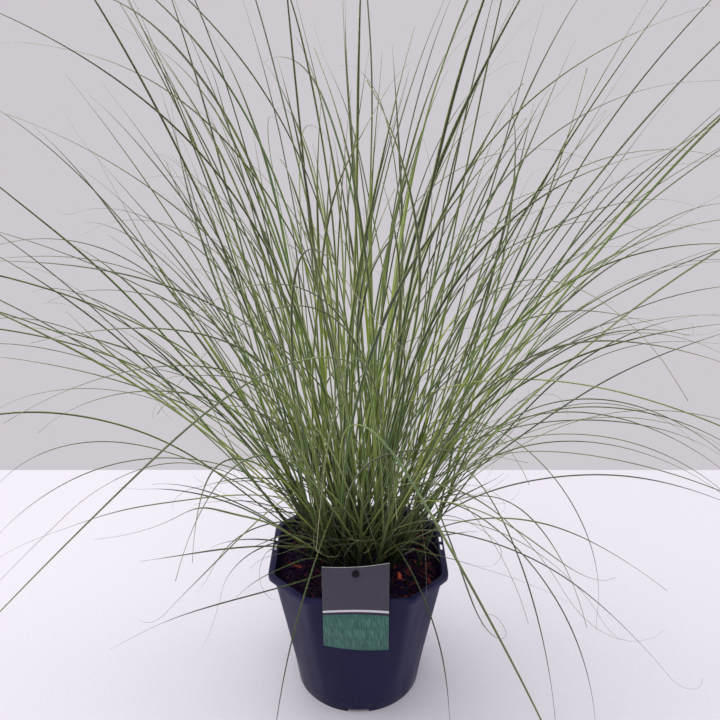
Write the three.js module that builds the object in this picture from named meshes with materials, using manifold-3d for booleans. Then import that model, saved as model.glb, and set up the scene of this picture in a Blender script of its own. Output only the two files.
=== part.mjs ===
// A maiden grass in its nursery pot: a pot that is round at its foot and eight-sided at its rim, the soil
// in it, a plant card on a stake, and a clump of leafy stems that arch out on every side.
// Millimetres and degrees, +Z up. The origin is the centre of the pot's underside, and -Y is the front.
import * as THREE from 'three';
import { mergeVertices } from 'three/addons/utils/BufferGeometryUtils.js';
import Module from 'manifold-3d';

const wasm = await Module();
wasm.setup();

// Pot
const POT_HEIGHT = 200;
const BASE_RADIUS = 84;
const POT_WALL = 1.8;
const FOOT_HEIGHT = 5;
const FOOT_WIDTH = 2.5;
const BASE_PLATE = 2;
const CENTRE_PAD_RADIUS = 16;
const MOUTH = { side: 107, front: 100.5, corner: 115 };
const RIM = { side: 115, front: 105.5, corner: 122 };
const RIM_DEPTH = 6;
const RIM_BEVEL = 1;
const CORNER_SHARPNESS = 60;
const GRIP_SLOT = { width: 3.4, length: 13, at: [5, 23] };
const DRAIN_NOTCHES = 4;
const DRAIN_NOTCH_WIDTH = 28;
const DRAIN_SLOT = { width: 20, depth: 8, radius: 74 };

// Soil
const GAP = 0.3;
const SOIL_EDGE_HEIGHT = 186;
const SOIL_RISE = 4;
const SOIL_RISE_RADIUS = 92;
const CHIPS = 34;
const CHIP_RING = [64, 90];

// Card and its stake
const CARD = { middle: -3, width: 80, bottom: 134, top: 257, thick: 0.8, front: -116, bow: 4, twist: 3.5 };
const CARD_HOLE_RADIUS = 3.1;
const CARD_HOLE_DROP = 9;
const STAKE = { width: 7, thick: 2.4, foot: 150, footY: -92, bend: 202 };
const STUD_RADIUS = 2.8;
const CARD_VIEW_SLOPE = 0.75;
const STUD_HEAD = { radius: 4.4, thick: 1.6, gap: 0.8 };

// Clump
const SHOOTS = 48;
const SHOOT_SEED = 18;
const CROWN_RADIUS = 54;
const CROWN_LEAN = 27;
const CROWN_DEPTH = 14;
const SIDE_SHOOT = { x: 78, y: -16, lean: 24, heading: 25, length: 150 };
const STEM_SIDES = 5;
const STEM_RADIUS = [2.8, 1.4];
const STEM_LENGTH = [270, 150];
const LEAF_RANKS = 6;
const LEAF_WIDTH = 3.2;
const LEAF_KEEL = 0.9;
const LEAF_SUNK = 12;
const LEAF_STEPS = 24;
const BEND_PER_RING = 22;
const DRAWS_PER_LEAF = 40;
const CURL_POWER = 8;
const ROOT_STRETCH = 50;
const GOLDEN_ANGLE = 137.50776;
const ROOT_HEIGHT = [0.05, 0.92];
const OPENING = [27, 8.5];
const SIDE_SPREAD = 35;
const BEND = [2, 110];
const BEND_POWER = 1.7;
const BEND_BY_LEAN = 19;
const BEND_LOW = 8;
const DRIFT = 45;
const LATE = [0.85, 2.85];
const LOW_LENGTH = [230, 390];
const HIGH_LENGTH = [475, 765];
const LENGTH_POWER = 0.6;

// Leaves that stand out singly: the shoot they grow on, the height of their root on it, their compass
// heading and its drift, their slope from the vertical at start and end, how late they bend, their length,
// and how far the tip curls. Degrees and millimetres.
const LONE_LEAVES = [
  { shoot: 3, rise: 230, heading: 251, drift: 1, start: 39, end: 103, late: 0.6, length: 760 },
  { shoot: 0, rise: 175, heading: 321, drift: 8, start: 27, end: 124, late: 0.7, length: 655 },
  { shoot: 21, rise: 185, heading: 321, drift: 3, start: 22, end: 181, late: 0.6, length: 385 },
  { shoot: 42, rise: 145, heading: 293, drift: -11, start: 45, end: 155, late: 0.6, length: 380 },
  { shoot: 42, rise: 70, heading: 313, drift: -2, start: 28, end: 172, late: 0.6, length: 415 },
  { shoot: 11, rise: 25, heading: 299, drift: -9, start: 39, end: 170, late: 0.6, length: 330 },
  { shoot: 26, rise: 145, heading: 270, drift: 43, start: 48, end: 179, late: 0.7, length: 260, curl: -265 },
  { shoot: 40, rise: 50, heading: 265, drift: -20, start: 29, end: 168, late: 0.7, length: 465 },
  { shoot: 25, rise: 110, heading: 207, drift: 1, start: 59, end: 95, late: 0.6, length: 295 },
  { shoot: 25, rise: 20, heading: 233, drift: -11, start: 51, end: 72, late: 0.6, length: 295 },
  { shoot: 28, rise: 20, heading: 236, drift: -39, start: 74, end: 112, late: 2.9, length: 285 },
  { shoot: 33, rise: 135, heading: 250, drift: -20, start: 63, end: 112, late: 0.6, length: 240 },
  { shoot: 31, rise: 135, heading: 324, drift: -11, start: 42, end: 123, late: 0.6, length: 280, curl: -90 },
];

const radians = THREE.MathUtils.degToRad;
const mix = THREE.MathUtils.lerp;

// A stream of numbers from 0 to 1 that is the same on every run.
function randomStream(seed) {
  let state = seed >>> 0;
  return () => {
    state = (state + 0x6d2b79f5) >>> 0;
    let t = state;
    t = Math.imul(t ^ (t >>> 15), t | 1);
    t ^= t + Math.imul(t ^ (t >>> 7), t | 61);
    return ((t ^ (t >>> 14)) >>> 0) / 4294967296;
  };
}

// Solids

function solidFrom(corners, triangles) {
  return new wasm.Manifold(new wasm.Mesh({
    numProp: 3,
    vertProperties: new Float32Array(corners),
    triVerts: new Uint32Array(triangles),
  }));
}

function solidOf(geometry) {
  geometry.deleteAttribute('normal');
  geometry.deleteAttribute('uv');
  const merged = mergeVertices(geometry, 1e-4);
  return solidFrom(merged.attributes.position.array, merged.index.array);
}

function meshOf(name, solid, material) {
  const { vertProperties, triVerts } = solid.getMesh();
  const geometry = new THREE.BufferGeometry();
  geometry.setAttribute('position', new THREE.BufferAttribute(vertProperties, 3));
  geometry.setIndex(new THREE.BufferAttribute(triVerts, 1));
  geometry.computeVertexNormals();
  const mesh = new THREE.Mesh(geometry, material);
  mesh.name = name;
  return mesh;
}

function boxGeometry(x0, y0, z0, x1, y1, z1) {
  const geometry = new THREE.BoxGeometry(x1 - x0, y1 - y0, z1 - z0);
  return geometry.translate((x0 + x1) / 2, (y0 + y1) / 2, (z0 + z1) / 2);
}

// A body through a row of rings that all turn the same way, closed at both ends. A last ring of one point
// makes a tip. The quads between rings are split along one diagonal or, where `mirrored`, the other.
function throughRings(rings, mirrored = false) {
  const corners = rings.flat().flatMap((point) => point.toArray());
  const sides = rings[0].length;
  const triangles = [];
  rings.slice(1).forEach((ring, i) => {
    const here = i * sides;
    const next = here + sides;
    for (let j = 0; j < sides; j++) {
      const k = (j + 1) % sides;
      if (ring.length === 1) {
        triangles.push(here + j, here + k, next);
      } else if (mirrored) {
        triangles.push(here + j, here + k, next + j, here + k, next + k, next + j);
      } else {
        triangles.push(here + j, here + k, next + k, here + j, next + k, next + j);
      }
    }
  });
  const last = (rings.length - 1) * sides;
  for (let j = 1; j < sides - 1; j++) {
    triangles.push(0, j + 1, j);
    if (rings.at(-1).length > 1) triangles.push(last, last + j, last + j + 1);
  }
  return solidFrom(corners, triangles);
}

// Pot

// Compass angles of a ring's points, closer together at the rim's eight corners.
const QUARTER = [0, 10, 20, 24.6, 28.8, 36, 46, 55.2, 59.4, 69, 79, 90];
const RING_ANGLES = [0, 1, 2, 3].flatMap((quarter) => {
  const angles = quarter % 2 ? QUARTER.map((angle) => 90 - angle).reverse() : QUARTER;
  return angles.slice(0, -1).map((angle) => radians(quarter * 90 + angle));
});

// How far the eight-sided outline lies from the centre in a direction, with its corners rounded.
function eightSided({ side, front, corner }, angle) {
  const flats = [side, corner, front, corner, side, corner, front, corner];
  const sum = flats.reduce((total, distance, i) => (
    total + (Math.max(0, Math.cos(angle - radians(45 * i))) / distance) ** CORNER_SHARPNESS
  ), 0);
  return sum ** (-1 / CORNER_SHARPNESS);
}

const ring = (z, radiusAt) => RING_ANGLES.map((angle) => {
  const radius = radiusAt(angle);
  return new THREE.Vector3(radius * Math.cos(angle), radius * Math.sin(angle), z);
});
const roundRing = (z, radius) => ring(z, () => radius);
const rimRing = (z, outline, grow = 0) => ring(z, (angle) => eightSided(outline, angle) + grow);

const rimBottom = POT_HEIGHT - RIM_DEPTH;
const rimTopInside = POT_HEIGHT - POT_WALL;

// The wall runs straight from the round foot to the eight-sided mouth.
const wallRing = (z, grow) => ring(z, (angle) => (
  mix(BASE_RADIUS - POT_WALL, eightSided(MOUTH, angle), z / rimTopInside) + grow
));

function pot() {
  const foot = BASE_RADIUS - FOOT_WIDTH;
  const plateTop = FOOT_HEIGHT + BASE_PLATE;
  const uncut = throughRings([
    roundRing(0, CENTRE_PAD_RADIUS),
    roundRing(FOOT_HEIGHT, CENTRE_PAD_RADIUS + 1),
    roundRing(FOOT_HEIGHT, foot - 1),
    roundRing(0, foot),
    wallRing(0, POT_WALL),
    wallRing(rimTopInside / 3, POT_WALL),
    wallRing(rimTopInside * 2 / 3, POT_WALL),
    wallRing(rimTopInside, POT_WALL),
    rimRing(rimTopInside, RIM, -POT_WALL),
    rimRing(rimBottom, RIM, -POT_WALL),
    rimRing(rimBottom, RIM),
    rimRing(POT_HEIGHT - RIM_BEVEL, RIM),
    rimRing(POT_HEIGHT, RIM, -RIM_BEVEL),
    rimRing(POT_HEIGHT, MOUTH),
    wallRing(rimTopInside, 0),
    wallRing(rimTopInside * 2 / 3, 0),
    wallRing(rimTopInside / 3, 0),
    wallRing(plateTop, 0),
  ]);
  return [...gripSlots(), ...drainCuts()].reduce((solid, cut) => solid.subtract(cut), uncut);
}

function gripSlots() {
  const { width, length, at } = GRIP_SLOT;
  const middle = (MOUTH.side + RIM.side) / 2;
  return [-1, 1].flatMap((side) => at.map((y) => solidOf(boxGeometry(
    side * middle - width / 2, y - length / 2, rimTopInside - 1,
    side * middle + width / 2, y + length / 2, POT_HEIGHT + 1,
  ))));
}

function drainCuts() {
  const cuts = [];
  for (let i = 0; i < DRAIN_NOTCHES; i++) {
    const turn = radians(360 / DRAIN_NOTCHES * i);
    const { width, depth, radius } = DRAIN_SLOT;
    const halfNotch = DRAIN_NOTCH_WIDTH / 2;
    cuts.push(solidOf(boxGeometry(
      BASE_RADIUS - 7, -halfNotch, -1, BASE_RADIUS + 4, halfNotch, FOOT_HEIGHT - 0.5,
    ).rotateZ(turn)));
    cuts.push(solidOf(boxGeometry(
      radius - depth / 2, -width / 2, FOOT_HEIGHT - 1, radius + depth / 2, width / 2, FOOT_HEIGHT + 3,
    ).rotateZ(turn)));
  }
  return cuts;
}

// Clump

// The direction of a slope from the vertical and a compass heading, both in radians.
function direction(slope, heading) {
  return new THREE.Vector3(
    Math.sin(slope) * Math.cos(heading), Math.sin(slope) * Math.sin(heading), Math.cos(slope),
  );
}

function soilTop(x, y) {
  return SOIL_EDGE_HEIGHT + SOIL_RISE * Math.max(0, 1 - Math.hypot(x, y) / SOIL_RISE_RADIUS);
}

// A shoot's straight stem: where it leaves the soil, which way it leans and how long it is. The shoots
// stand in a spiral and lean out more the further they are from the centre.
function makeShoot(index) {
  const random = randomStream(SHOOT_SEED + index);
  const spread = Math.sqrt((index + 0.5) / SHOOTS);
  const around = radians(GOLDEN_ANGLE * index);
  const slope = Math.abs(radians(CROWN_LEAN * spread + mix(-4, 4, random())));
  const heading = around + radians(mix(-12, 12, random()));
  const length = mix(STEM_LENGTH[0], STEM_LENGTH[1], spread * 0.7 + 0.3 * random());
  const fan = radians(360 * random());
  const x = CROWN_RADIUS * spread * Math.cos(around);
  const y = CROWN_RADIUS * spread * Math.sin(around);
  const base = new THREE.Vector3(x, y, soilTop(x, y));
  return { index, base, along: direction(slope, heading), length, fan, leaves: [] };
}

function makeSideShoot() {
  const { x, y, lean, heading, length } = SIDE_SHOOT;
  return {
    ...makeShoot(SHOOTS), base: new THREE.Vector3(x, y, soilTop(x, y)),
    along: direction(radians(lean), radians(heading)), length,
  };
}

// The stem as a tapered tube, fatter by `grow` for the hole that it stands in.
function stemSolid(shoot, from, to, grow) {
  const side = new THREE.Vector3(0, 1, 0).cross(shoot.along).normalize();
  const up = shoot.along.clone().cross(side);
  const rings = [from, to].map((rise) => {
    const centre = shoot.base.clone().addScaledVector(shoot.along, rise);
    const share = THREE.MathUtils.clamp(rise / shoot.length, 0, 1);
    const radius = mix(STEM_RADIUS[0], STEM_RADIUS[1], share) + grow;
    return Array.from({ length: STEM_SIDES }, (_, i) => {
      const angle = 2 * Math.PI * i / STEM_SIDES;
      return centre.clone().addScaledVector(side, radius * Math.cos(angle))
        .addScaledVector(up, radius * Math.sin(angle));
    });
  });
  return throughRings(rings);
}

// A leaf's centre line bends over from its first slope to its last, later in its length where `late` is
// over 1, while its heading drifts. The curl turns the last part of it.
function leafLine({ root, heading, drift, start, end, late, length, curl }) {
  const points = [root.clone()];
  for (let i = 0; i < LEAF_STEPS; i++) {
    const share = (i + 0.5) / LEAF_STEPS;
    const slope = mix(start, end, share ** late) + curl * share ** CURL_POWER;
    const step = direction(slope, heading + drift * share).multiplyScalar(length / LEAF_STEPS);
    points.push(points.at(-1).clone().add(step));
  }
  return points;
}

const leafWidth = (share) => LEAF_WIDTH * Math.min(0.72 + 1.1 * share, 1, 0.16 + 2.8 * (1 - share));

// Where a leaf's rings lie along its centre line. A leaf that bends more has more of them.
function ringSteps({ start, end, curl }) {
  const bend = THREE.MathUtils.radToDeg(Math.abs(end - start) + Math.abs(curl));
  const spans = THREE.MathUtils.clamp(Math.ceil(bend / BEND_PER_RING), 3, 6);
  return Array.from({ length: spans + 1 }, (_, i) => Math.round(i * LEAF_STEPS / spans));
}

// A leaf is flat above with a keel below, and turns about its centre line on its way to the tip.
function leafSolid(leaf) {
  const { line } = leaf;
  const rings = ringSteps(leaf).slice(0, -1).map((step) => {
    const share = step / LEAF_STEPS;
    const along = line[step + 1].clone().sub(line[Math.max(step - 1, 0)]).normalize();
    const turn = leaf.heading + leaf.drift * share;
    const flat = new THREE.Vector3(-Math.sin(turn), Math.cos(turn), 0);
    const side = flat.applyAxisAngle(along, leaf.twist * share);
    const up = along.clone().cross(side).normalize();
    const half = leafWidth(share) / 2;
    return [
      line[step].clone().addScaledVector(side, half),
      line[step].clone().addScaledVector(side, -half),
      line[step].clone().addScaledVector(up, -LEAF_KEEL),
    ];
  });
  return throughRings([...rings, [line[LEAF_STEPS]]]);
}

// Leaves keep out of the soil, the pot, the card with its stake, and the floor, and none hangs in front of
// the card where it would hide it from a viewer in front and above.
function isFree(point) {
  const radius = Math.hypot(point.x, point.y);
  const overMouth = radius < MOUTH.front - 8;
  const overPot = radius < RIM.corner + 10;
  const lowest = overMouth ? SOIL_EDGE_HEIGHT + SOIL_RISE + 3 : overPot ? POT_HEIGHT + 5 : 8;
  const viewHeight = CARD.top + 8 + CARD_VIEW_SLOPE * Math.max(0, CARD.front - point.y);
  const nearCard = Math.abs(point.x - CARD.middle) < CARD.width / 2 + 6
    && point.y < STAKE.footY + 6 && point.z < viewHeight;
  return point.z > lowest && !nearCard;
}

const halfway = (a, b) => a.clone().add(b).multiplyScalar(0.5);

// The least distance between the straight stretches a to b and c to d.
function stretchGap(a, b, c, d) {
  const u = b.clone().sub(a);
  const v = d.clone().sub(c);
  const w = a.clone().sub(c);
  const uu = u.dot(u);
  const vv = v.dot(v);
  const uv = u.dot(v);
  const uw = u.dot(w);
  const vw = v.dot(w);
  const clamp = (value) => Math.min(1, Math.max(0, value));
  const square = uu * vv - uv * uv;
  const first = square > 1e-9 ? clamp((uv * vw - vv * uw) / square) : 0;
  const t = clamp((uv * first + vw) / vv);
  const s = clamp((uv * t - uw) / uu);
  return w.addScaledVector(u, s).addScaledVector(v, -t).length();
}

function stretch(shoot, from, to, half, clearOfRoot) {
  const box = new THREE.Box3().setFromPoints([from, to]).expandByScalar(half + GAP);
  return { shoot: shoot.index, from, to, half, clearOfRoot, box };
}

// The straight stretches of a leaf between its rings. Near the root, leaves of one shoot may touch.
function leafStretches(shoot, leaf) {
  const steps = ringSteps(leaf);
  return steps.slice(1).map((step, i) => {
    const from = leaf.line[steps[i]];
    const to = leaf.line[step];
    const half = Math.max(leafWidth(steps[i] / LEAF_STEPS), leafWidth(step / LEAF_STEPS)) / 2;
    const share = i === 0 ? Math.min(ROOT_STRETCH / from.distanceTo(to), 0.98) : 0;
    return stretch(shoot, from, to, half, from.clone().lerp(to, share));
  });
}

function meet(one, other) {
  if (!one.box.intersectsBox(other.box)) return false;
  const sameShoot = one.shoot === other.shoot;
  const a = sameShoot ? one.clearOfRoot : one.from;
  const c = sameShoot ? other.clearOfRoot : other.from;
  return stretchGap(a, one.to, c, other.to) < one.half + other.half + GAP;
}

// Adds the leaf to its shoot if it is clear of everything that stands there already.
function placeLeaf(shoot, taken, drawn) {
  const leaf = { ...drawn, line: leafLine(drawn) };
  const clear = leaf.line.slice(1).every((point, i) => (
    isFree(point) && isFree(halfway(point, leaf.line[i]))
  ));
  if (!clear) return false;
  const own = leafStretches(shoot, leaf);
  if (own.some((one) => taken.some((other) => meet(one, other)))) return false;
  taken.push(...own);
  shoot.leaves.push(leaf);
  return true;
}

const onStem = (shoot, rise) => shoot.base.clone().addScaledVector(shoot.along, rise);

// The leaves leave a stem on two opposite sides by turns. The lowest are the shortest. Some stay almost
// straight and a few bend right over, and a leaf that starts lower bends further.
function drawLeaf(shoot, rank, draw) {
  const random = randomStream(SHOOT_SEED * 7919 + shoot.index * 4099 + rank * 131 + draw);
  const height = (rank + 1) / (LEAF_RANKS + 1);
  const open = radians(mix(OPENING[0], OPENING[1], height) * mix(0.72, 1.28, random()));
  const sideways = shoot.fan + Math.PI * (rank % 2) + radians(mix(-SIDE_SPREAD, SIDE_SPREAD, random()));
  const first = shoot.along.clone()
    .addScaledVector(direction(Math.PI / 2, sideways), Math.tan(open)).normalize();
  const start = Math.acos(first.z);
  const bend = radians(mix(BEND[0], BEND[1], random() ** BEND_POWER)
    + BEND_BY_LEAN * start / radians(45) * mix(0.5, 1.2, random())
    + BEND_LOW * (1 - height) * random());
  return {
    root: onStem(shoot, mix(ROOT_HEIGHT[0], ROOT_HEIGHT[1], height) * shoot.length - LEAF_SUNK),
    heading: Math.atan2(first.y, first.x),
    drift: radians(mix(-DRIFT, DRIFT, random())),
    start,
    end: Math.min(start + bend, radians(150)),
    late: mix(LATE[0], LATE[1], random()),
    length: mix(
      mix(LOW_LENGTH[0], LOW_LENGTH[1], random()), mix(HIGH_LENGTH[0], HIGH_LENGTH[1], random()),
      height ** LENGTH_POWER,
    ),
    twist: radians(mix(-55, 55, random())),
    curl: 0,
  };
}

function growClump() {
  const shoots = Array.from({ length: SHOOTS }, (_, i) => makeShoot(i));
  shoots.push(makeSideShoot());
  const taken = shoots.map((shoot) => {
    const tip = onStem(shoot, shoot.length);
    return stretch(shoot, shoot.base, tip, STEM_RADIUS[0], tip.clone().lerp(shoot.base, 0.01));
  });
  for (const { shoot, rise, heading, drift, start, end, late, length, curl = 0 } of LONE_LEAVES) {
    placeLeaf(shoots[shoot], taken, {
      root: onStem(shoots[shoot], rise), heading: radians(heading), drift: radians(drift),
      start: radians(start), end: radians(end), late, length, twist: 0, curl: radians(curl),
    });
  }
  for (let rank = LEAF_RANKS; rank > 0; rank--) {
    for (const shoot of shoots) {
      for (let draw = 0; draw < DRAWS_PER_LEAF; draw++) {
        if (placeLeaf(shoot, taken, drawLeaf(shoot, rank, draw))) break;
      }
    }
  }
  return shoots;
}

function shootSolid(shoot) {
  const stem = stemSolid(shoot, -CROWN_DEPTH, shoot.length, 0);
  return shoot.leaves.reduce((solid, leaf) => solid.add(leafSolid(leaf)), stem);
}

// Soil

// Bark chips lie half sunk in the soil between the clump and the pot.
function barkChip(index) {
  const random = randomStream(7000 + index);
  const around = radians(GOLDEN_ANGLE * index);
  const radius = mix(CHIP_RING[0], CHIP_RING[1], random());
  const [length, width, thick] = [mix(8, 17, random()), mix(4, 8, random()), mix(2.5, 4.5, random())];
  const x = radius * Math.cos(around);
  const y = radius * Math.sin(around);
  return solidOf(boxGeometry(-length / 2, -width / 2, -thick / 2, length / 2, width / 2, thick / 2)
    .rotateX(radians(mix(-20, 20, random())))
    .rotateY(radians(mix(-12, 12, random())))
    .rotateZ(radians(360 * random()))
    .translate(x, y, soilTop(x, y) + 0.3));
}

// The soil fills the pot. Its sides are split as the pot's inner wall is, so that the gap between them
// stays even.
function soil(shoots) {
  const bottom = FOOT_HEIGHT + BASE_PLATE + GAP;
  let solid = throughRings([
    wallRing(bottom, -GAP),
    wallRing(rimTopInside / 3, -GAP),
    wallRing(rimTopInside * 2 / 3, -GAP),
    wallRing(SOIL_EDGE_HEIGHT, -GAP),
    roundRing(SOIL_EDGE_HEIGHT, SOIL_RISE_RADIUS),
    [new THREE.Vector3(0, 0, SOIL_EDGE_HEIGHT + SOIL_RISE)],
  ], true);
  const holes = shoots.map((shoot) => stemSolid(shoot, -CROWN_DEPTH - 2 * GAP, 12, 1.5 * GAP));
  holes.push(solidOf(boxGeometry(
    -STAKE.width / 2 - GAP + CARD.middle, STAKE.footY - GAP, STAKE.foot - GAP,
    STAKE.width / 2 + GAP + CARD.middle, STAKE.footY + STAKE.thick + GAP, STAKE.bend,
  )));
  for (let i = 0; i < CHIPS; i++) {
    const chip = barkChip(i);
    if (holes.every((hole) => chip.intersect(hole).volume() === 0)) solid = solid.add(chip);
  }
  return holes.reduce((whole, hole) => whole.subtract(hole), solid);
}

// Card and stake

// The card is bowed towards the front and a little twisted.
function cardDepth(x, z) {
  const across = (x - CARD.middle) / (CARD.width / 2);
  const height = z - (CARD.top + CARD.bottom) / 2;
  return CARD.front + CARD.bow * across ** 2 + Math.tan(radians(CARD.twist)) * across * height;
}

const studHeight = CARD.top - CARD_HOLE_DROP;

// A round bar along Y at the card's stud.
function alongY(radius, front, back) {
  return solidOf(new THREE.CylinderGeometry(radius, radius, back - front, 12)
    .translate(CARD.middle, (back + front) / 2, studHeight));
}

function card() {
  const columns = 10;
  const rings = Array.from({ length: columns + 1 }, (_, i) => {
    const x = CARD.middle + CARD.width * (i / columns - 0.5);
    const corner = (z, depth) => new THREE.Vector3(x, cardDepth(x, z) + depth, z);
    return [
      corner(CARD.bottom, 0), corner(CARD.bottom, CARD.thick),
      corner(CARD.top, CARD.thick), corner(CARD.top, 0),
    ];
  });
  return throughRings(rings).subtract(alongY(CARD_HOLE_RADIUS, CARD.front - 10, CARD.front + 10));
}

// The stake stands in the soil behind the pot's front wall and leans out above it. Its headed stud goes
// through the card's hole.
function stake() {
  const top = CARD.top - 2;
  const topY = CARD.front + CARD.thick + STUD_HEAD.gap;
  const profile = new THREE.Shape([
    [STAKE.footY, STAKE.foot], [STAKE.footY, STAKE.bend], [topY, studHeight - 8], [topY, top],
    [topY + STAKE.thick, top], [topY + STAKE.thick, studHeight - 8.5],
    [STAKE.footY + STAKE.thick, STAKE.bend - 0.5], [STAKE.footY + STAKE.thick, STAKE.foot],
  ].map(([y, z]) => new THREE.Vector2(y, z)));
  const bar = solidOf(new THREE.ExtrudeGeometry(profile, { depth: STAKE.width, bevelEnabled: false })
    .translate(0, 0, -STAKE.width / 2)
    .applyMatrix4(new THREE.Matrix4().makeBasis(
      new THREE.Vector3(0, 1, 0), new THREE.Vector3(0, 0, 1), new THREE.Vector3(1, 0, 0),
    ))
    .translate(CARD.middle, 0, 0));
  const headBack = CARD.front - STUD_HEAD.gap;
  return bar
    .add(alongY(STUD_RADIUS, headBack - STUD_HEAD.thick / 2, topY + STAKE.thick / 2))
    .add(alongY(STUD_HEAD.radius, headBack - STUD_HEAD.thick, headBack));
}

// Assembly

const plastic = new THREE.MeshStandardMaterial({ color: 0x23243a, roughness: 0.5, metalness: 0 });
const earth = new THREE.MeshStandardMaterial({ color: 0x241713, roughness: 1, metalness: 0 });
const printed = new THREE.MeshStandardMaterial({ color: 0x47454d, roughness: 0.4, metalness: 0 });
const black = new THREE.MeshStandardMaterial({ color: 0x15151a, roughness: 0.5, metalness: 0 });
const leafGreen = new THREE.MeshStandardMaterial({ color: 0x6f8c46, roughness: 0.6, metalness: 0 });

const shoots = growClump();
const group = new THREE.Group();
group.add(
  meshOf('pot', pot(), plastic),
  meshOf('soil', soil(shoots), earth),
  meshOf('card', card(), printed),
  meshOf('card_stake', stake(), black),
);
for (const shoot of shoots) {
  const number = String(shoot.index + 1).padStart(2, '0');
  group.add(meshOf(`leafy_stem_${number}`, shootSolid(shoot), leafGreen));
}

export default group;
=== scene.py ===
"""A maiden grass in its nursery pot: the finish of its pot, compost, plant card and leafy stems.

The clump grows here by the same rule and from the same seeded draws as in the part's source, in
millimetres, so that every fine leaf lies where its plain solid lies. Meshes are made in metres.
"""

import math
from types import SimpleNamespace

import bpy
import numpy as np
from mathutils import Matrix, Vector, noise


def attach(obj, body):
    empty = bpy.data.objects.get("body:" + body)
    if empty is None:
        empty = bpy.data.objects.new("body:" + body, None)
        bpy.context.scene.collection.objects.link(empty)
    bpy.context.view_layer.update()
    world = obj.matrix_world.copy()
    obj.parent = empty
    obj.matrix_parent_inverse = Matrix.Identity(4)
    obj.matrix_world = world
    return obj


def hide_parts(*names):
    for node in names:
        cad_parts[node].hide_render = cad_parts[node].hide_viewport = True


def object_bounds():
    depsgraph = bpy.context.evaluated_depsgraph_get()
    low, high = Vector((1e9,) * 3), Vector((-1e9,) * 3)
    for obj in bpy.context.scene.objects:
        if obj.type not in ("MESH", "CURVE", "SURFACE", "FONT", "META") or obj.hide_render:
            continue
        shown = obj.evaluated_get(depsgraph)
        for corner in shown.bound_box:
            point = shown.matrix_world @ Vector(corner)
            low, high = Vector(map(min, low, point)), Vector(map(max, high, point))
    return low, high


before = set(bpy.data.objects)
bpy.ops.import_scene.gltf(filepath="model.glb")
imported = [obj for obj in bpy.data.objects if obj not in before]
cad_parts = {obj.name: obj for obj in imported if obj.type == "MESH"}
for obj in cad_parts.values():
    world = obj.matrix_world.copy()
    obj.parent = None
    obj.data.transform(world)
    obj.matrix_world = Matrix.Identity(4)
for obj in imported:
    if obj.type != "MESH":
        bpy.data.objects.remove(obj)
cad_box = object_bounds()

MM = 0.001

# Pot, as in the part's source
POT_HEIGHT = 200
BASE_RADIUS = 84
POT_WALL = 1.8
FOOT_HEIGHT = 5
FOOT_WIDTH = 2.5
BASE_PLATE = 2
CENTRE_PAD_RADIUS = 16
MOUTH = {"side": 107, "front": 100.5, "corner": 115}
RIM = {"side": 115, "front": 105.5, "corner": 122}
RIM_DEPTH = 6
RIM_BEVEL = 1
CORNER_SHARPNESS = 60
GRIP_SLOT_WIDTH = 3.4
GRIP_SLOT_LENGTH = 13
GRIP_SLOTS_AT = (5, 23)
DRAIN_NOTCHES = 4
DRAIN_NOTCH_WIDTH = 28
DRAIN_SLOT = {"width": 20, "depth": 8, "radius": 74}

# Soil, as in the part's source
GAP = 0.3
SOIL_EDGE_HEIGHT = 186
SOIL_RISE = 4
SOIL_RISE_RADIUS = 92

# Card and its stake, as in the part's source
CARD_MIDDLE = -3
CARD_WIDTH = 80
CARD_BOTTOM = 134
CARD_TOP = 257
CARD_THICK = 0.8
CARD_FRONT = -116
CARD_BOW = 4
CARD_TWIST = 3.5
CARD_HOLE_RADIUS = 3.1
STUD_HEIGHT = CARD_TOP - 9
STAKE = {"width": 7, "thick": 2.4, "foot": 150, "footY": -92, "bend": 202}
STUD_RADIUS = 2.8
CARD_VIEW_SLOPE = 0.75
STUD_HEAD = {"radius": 4.4, "thick": 1.6, "gap": 0.8}

# Clump, as in the part's source
SHOOTS = 48
SHOOT_SEED = 18
CROWN_RADIUS = 54
CROWN_LEAN = 27
CROWN_DEPTH = 14
LEAN_DRAW = 4
HEADING_DRAW = 12
SIDE_SHOOT = {"x": 78, "y": -16, "lean": 24, "heading": 25, "length": 150}
STEM_RADIUS = (2.8, 1.4)
STEM_LENGTH = (270, 150)
STEM_LENGTH_DRAW = 0.3
LEAF_RANKS = 6
LEAF_WIDTH = 3.2
LEAF_ROOT_SHARE = 0.72
LEAF_WIDENING = 1.1
LEAF_TIP_SHARE = 0.16
LEAF_NARROWING = 2.8
LEAF_SUNK = 12
LEAF_STEPS = 24
BEND_PER_RING = 22
RING_SPANS = (3, 6)
DRAWS_PER_LEAF = 40
CURL_POWER = 8
ROOT_STRETCH = 50
GOLDEN_ANGLE = 137.50776
ROOT_HEIGHT = (0.05, 0.92)
OPENING = (27, 8.5)
OPENING_DRAW = (0.72, 1.28)
SIDE_SPREAD = 35
BEND = (2, 110)
BEND_POWER = 1.7
BEND_BY_LEAN = 19
LEAN_UNIT = 45
LEAN_DRAWS = (0.5, 1.2)
BEND_LOW = 8
MOST_BENT = 150
DRIFT = 45
TWIST = 55
LATE = (0.85, 2.85)
LOW_LENGTH = (230, 390)
HIGH_LENGTH = (475, 765)
LENGTH_POWER = 0.6
SEED_STEPS = {"clump": 7919, "shoot": 4099, "rank": 131}

# How far a leaf's centre line keeps from the other pieces, as in the part's source
CLEAR_OF_RIM = 10
CLEAR_OVER_POT = 5
CLEAR_OVER_FLOOR = 8
CLEAR_OF_MOUTH = 8
CLEAR_OVER_SOIL = 3
CLEAR_OVER_CARD = 8
CLEAR_OF_CARD = 6

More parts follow.
